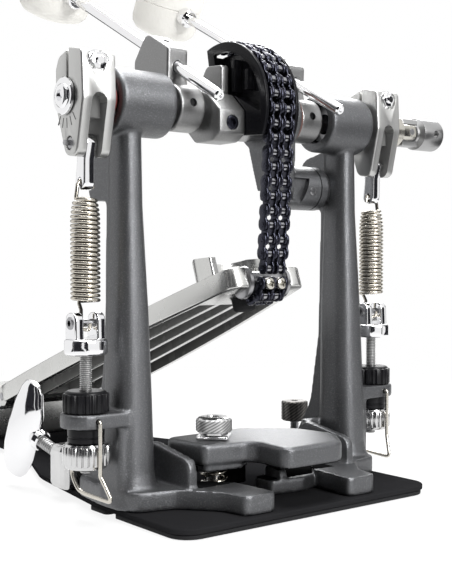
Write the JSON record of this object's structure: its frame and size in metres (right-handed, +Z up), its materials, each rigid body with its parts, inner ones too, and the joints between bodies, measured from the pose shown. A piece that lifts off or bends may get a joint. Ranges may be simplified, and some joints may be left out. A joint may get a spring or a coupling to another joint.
{
  "type": "bass drum pedal",
  "caption": "Bass drum pedal: a hinged footboard pulls a chain over a cam axle that swings the beaters, with tension springs, hoop clamp, drive coupling and flat base plate.",
  "frame": {"origin": "on the floor under the middle of the axle line, on the bottom face of the rubber sole", "axes": "+X along the axle towards the drive coupling, +Y from the drum towards the player's heel, +Z up"},
  "size_m": [0.2839, 0.366, 0.3398],
  "materials": {
    "cast": "fine-grained dark grey casting",
    "alloy": "satin",
    "chrome": "polished",
    "nickel": "nickel wire",
    "black": "black",
    "gloss": "black gloss",
    "chain": "blued",
    "plate": "black satin",
    "rubber": "black",
    "seal": "dark red",
    "steel": "plain steel",
    "felt": "pressed felt"
  },
  "bodies": {
    "frame": {"base_plate": "plate", "rubber_sole": "rubber", "heel_plate": "alloy", "heel_hinge_pin": "steel", "left_post": "cast", "right_post": "cast", "centre_arm": "cast", "left_bearing": "steel", "right_bearing": "steel", "centre_bearing": "steel", "left_seal": "seal", "centre_seal": "seal", "left_tension_bush": "black", "right_tension_bush": "black", "trunnion_block": "chrome", "clamp_spring": "nickel"},
    "main_shaft": {"main_axle": "steel", "left_rocker": "alloy", "left_rocker_bolt": "chrome", "left_hub": "alloy", "cam_holder": "alloy", "cam": "gloss", "chain_wrap": "chain"},
    "slave_shaft": {"slave_axle": "steel", "right_rocker": "alloy", "right_rocker_bolt": "chrome", "right_hub": "alloy", "ujoint_yoke": "alloy"},
    "left_beater": {"left_beater_rod": "chrome", "left_beater_head": "felt"},
    "right_beater": {"right_beater_rod": "chrome", "right_beater_head": "felt"},
    "link_1": {"chain_link_1": "chain"},
    "link_2": {"chain_link_2": "chain"},
    "link_3": {"chain_link_3": "chain"},
    "run": {"chain_run": "chain"},
    "board": {"footboard": "alloy", "toe_stop": "alloy", "chain_clamp": "chrome", "chain_tail": "chain", "board_bumper": "rubber"},
    "left_link": {"left_spring_link": "chrome"},
    "right_link": {"right_spring_link": "chrome"},
    "left_coil": {"left_spring": "nickel"},
    "right_coil": {"right_spring": "nickel"},
    "left_rod": {"left_clevis": "chrome"},
    "right_rod": {"right_clevis": "chrome"},
    "left_nut": {"left_tension_nut": "black"},
    "right_nut": {"right_tension_nut": "black"},
    "left_lock": {"left_lock_nut": "chrome"},
    "right_lock": {"right_lock_nut": "chrome"},
    "left_wire": {"left_bail": "nickel"},
    "right_wire": {"right_bail": "nickel"},
    "cross": {"ujoint_cross": "steel"},
    "socket": {"ujoint_socket": "alloy"},
    "jaw": {"hoop_jaw": "cast", "clamp_washer": "chrome"},
    "bolt": {"clamp_bolt": "alloy"},
    "wing": {"wing_screw": "chrome"},
    "spur": {"anchor_spur": "steel"}
  },
  "joints": [
    {"name": "main_turn", "type": "hinge", "parent": "frame", "child": "main_shaft", "pos_m": [0, 0, 0.22], "axis": [1, 0, 0], "range_deg": [0, 62], "stiffness_Nm_per_rad": 0.6, "springref_deg": -28.65},
    {"name": "slave_turn", "type": "hinge", "parent": "frame", "child": "slave_shaft", "pos_m": [0, 0, 0.22], "axis": [1, 0, 0], "range_deg": [0, 62], "stiffness_Nm_per_rad": 0.6, "springref_deg": -28.65},
    {"name": "left_beater_slide", "type": "slide", "parent": "main_shaft", "child": "left_beater", "axis": [0, 0.8829, 0.4695], "range_m": [-0.012, 0.012]},
    {"name": "right_beater_slide", "type": "slide", "parent": "slave_shaft", "child": "right_beater", "axis": [0, 0.8829, 0.4695], "range_m": [-0.012, 0.012]},
    {"name": "link_1_turn", "type": "hinge", "parent": "main_shaft", "child": "link_1", "pos_m": [-0.002, -0.01726, 0.25301], "axis": [1, 0, 0], "range_deg": [-15.6, 0.2]},
    {"name": "link_2_turn", "type": "hinge", "parent": "link_1", "child": "link_2", "pos_m": [-0.002, -0.02913, 0.2424], "axis": [1, 0, 0], "range_deg": [-25.2, 0.2]},
    {"name": "link_3_turn", "type": "hinge", "parent": "link_2", "child": "link_3", "pos_m": [-0.002, -0.0354, 0.22777], "axis": [1, 0, 0], "range_deg": [-23.3, 0.2]},
    {"name": "run_turn", "type": "hinge", "parent": "link_3", "child": "run", "pos_m": [-0.002, -0.03542, 0.21181], "axis": [1, 0, 0], "range_deg": [-4.5, 0.2]},
    {"name": "board_turn", "type": "hinge", "parent": "frame", "child": "board", "pos_m": [0, 0.222, 0.038], "axis": [1, 0, 0], "range_deg": [-0.1, 8.9]},
    {"name": "left_link_turn", "type": "hinge", "parent": "main_shaft", "child": "left_link", "pos_m": [-0.105, -0.0032, 0.196], "axis": [1, 0, 0], "range_deg": [-62.3, 0.3]},
    {"name": "right_link_turn", "type": "hinge", "parent": "slave_shaft", "child": "right_link", "pos_m": [0.105, -0.0032, 0.196], "axis": [1, 0, 0], "range_deg": [-62.3, 0.3]},
    {"name": "left_nut_turn", "type": "hinge", "parent": "frame", "child": "left_nut", "pos_m": [-0.105, -0.0016, 0.058], "axis": [0, 0, 1], "range_deg": [-1801, 1801]},
    {"name": "right_nut_turn", "type": "hinge", "parent": "frame", "child": "right_nut", "pos_m": [0.105, -0.0016, 0.058], "axis": [0, 0, 1], "range_deg": [-1801, 1801]},
    {"name": "left_rod_slide", "type": "slide", "parent": "frame", "child": "left_rod", "axis": [0, 0, 1], "range_m": [-0.005, 0.005]},
    {"name": "right_rod_slide", "type": "slide", "parent": "frame", "child": "right_rod", "axis": [0, 0, 1], "range_m": [-0.005, 0.005]},
    {"name": "left_coil_slide", "type": "slide", "parent": "left_rod", "child": "left_coil", "axis": [0, 0.9179, 0.3968], "range_m": [-0.0001, 0.0252], "deforming": ["left_spring"]},
    {"name": "right_coil_slide", "type": "slide", "parent": "right_rod", "child": "right_coil", "axis": [0, 0.9179, 0.3968], "range_m": [-0.0001, 0.0252], "deforming": ["right_spring"]},
    {"name": "left_lock_turn", "type": "hinge", "parent": "frame", "child": "left_lock", "pos_m": [-0.105, -0.0016, 0.035], "axis": [0, 0, 1], "continuous": true},
    {"name": "right_lock_turn", "type": "hinge", "parent": "frame", "child": "right_lock", "pos_m": [0.105, -0.0016, 0.035], "axis": [0, 0, 1], "continuous": true},
    {"name": "left_wire_swing", "type": "hinge", "parent": "frame", "child": "left_wire", "pos_m": [-0.105, 0, 0.05385], "axis": [0, 1, 0], "range_deg": [0, 45]},
    {"name": "right_wire_swing", "type": "hinge", "parent": "frame", "child": "right_wire", "pos_m": [0.105, 0, 0.05385], "axis": [0, 1, 0], "range_deg": [-45, 0]},
    {"name": "cross_turn", "type": "hinge", "parent": "slave_shaft", "child": "cross", "pos_m": [0.135, 0, 0.22], "axis": [0, 1, 0], "range_deg": [-14, 14]},
    {"name": "socket_turn", "type": "hinge", "parent": "cross", "child": "socket", "pos_m": [0.135, 0, 0.22], "axis": [0, 0, 1], "range_deg": [-14, 14]},
    {"name": "jaw_turn", "type": "hinge", "parent": "frame", "child": "jaw", "pos_m": [0, 0.001, 0.0071], "axis": [1, 0, 0], "range_deg": [-4, 6], "deforming": ["clamp_spring"]},
    {"name": "bolt_turn", "type": "hinge", "parent": "jaw", "child": "bolt", "pos_m": [-0.031, -0.014, 0.038], "axis": [0, 0, 1], "continuous": true},
    {"name": "wing_turn", "type": "hinge", "parent": "frame", "child": "wing", "pos_m": [-0.083, 0.06, 0.022], "axis": [-0.2261, 0.9044, 0.3618], "continuous": true},
    {"name": "spur_turn", "type": "hinge", "parent": "frame", "child": "spur", "pos_m": [0.084, 0.048, 0.03], "axis": [0, 0, 1], "continuous": true}
  ],
  "couplings": [
    {"joint": "link_1_turn", "follows": "main_turn", "ratio": -0.24849},
    {"joint": "link_2_turn", "follows": "main_turn", "ratio": -0.40372},
    {"joint": "link_3_turn", "follows": "main_turn", "ratio": -0.37319},
    {"joint": "run_turn", "follows": "main_turn", "ratio": -0.06961},
    {"joint": "board_turn", "follows": "main_turn", "ratio": 0.14172},
    {"joint": "left_link_turn", "follows": "main_turn", "ratio": -1},
    {"joint": "right_link_turn", "follows": "slave_turn", "ratio": -1},
    {"joint": "left_coil_slide", "follows": "main_turn", "m_per_rad": 0.02306},
    {"joint": "right_coil_slide", "follows": "slave_turn", "m_per_rad": 0.02306},
    {"joint": "left_nut_turn", "follows": "left_rod_slide", "rad_per_m": -6283.2},
    {"joint": "right_nut_turn", "follows": "right_rod_slide", "rad_per_m": -6283.2}
  ]
}
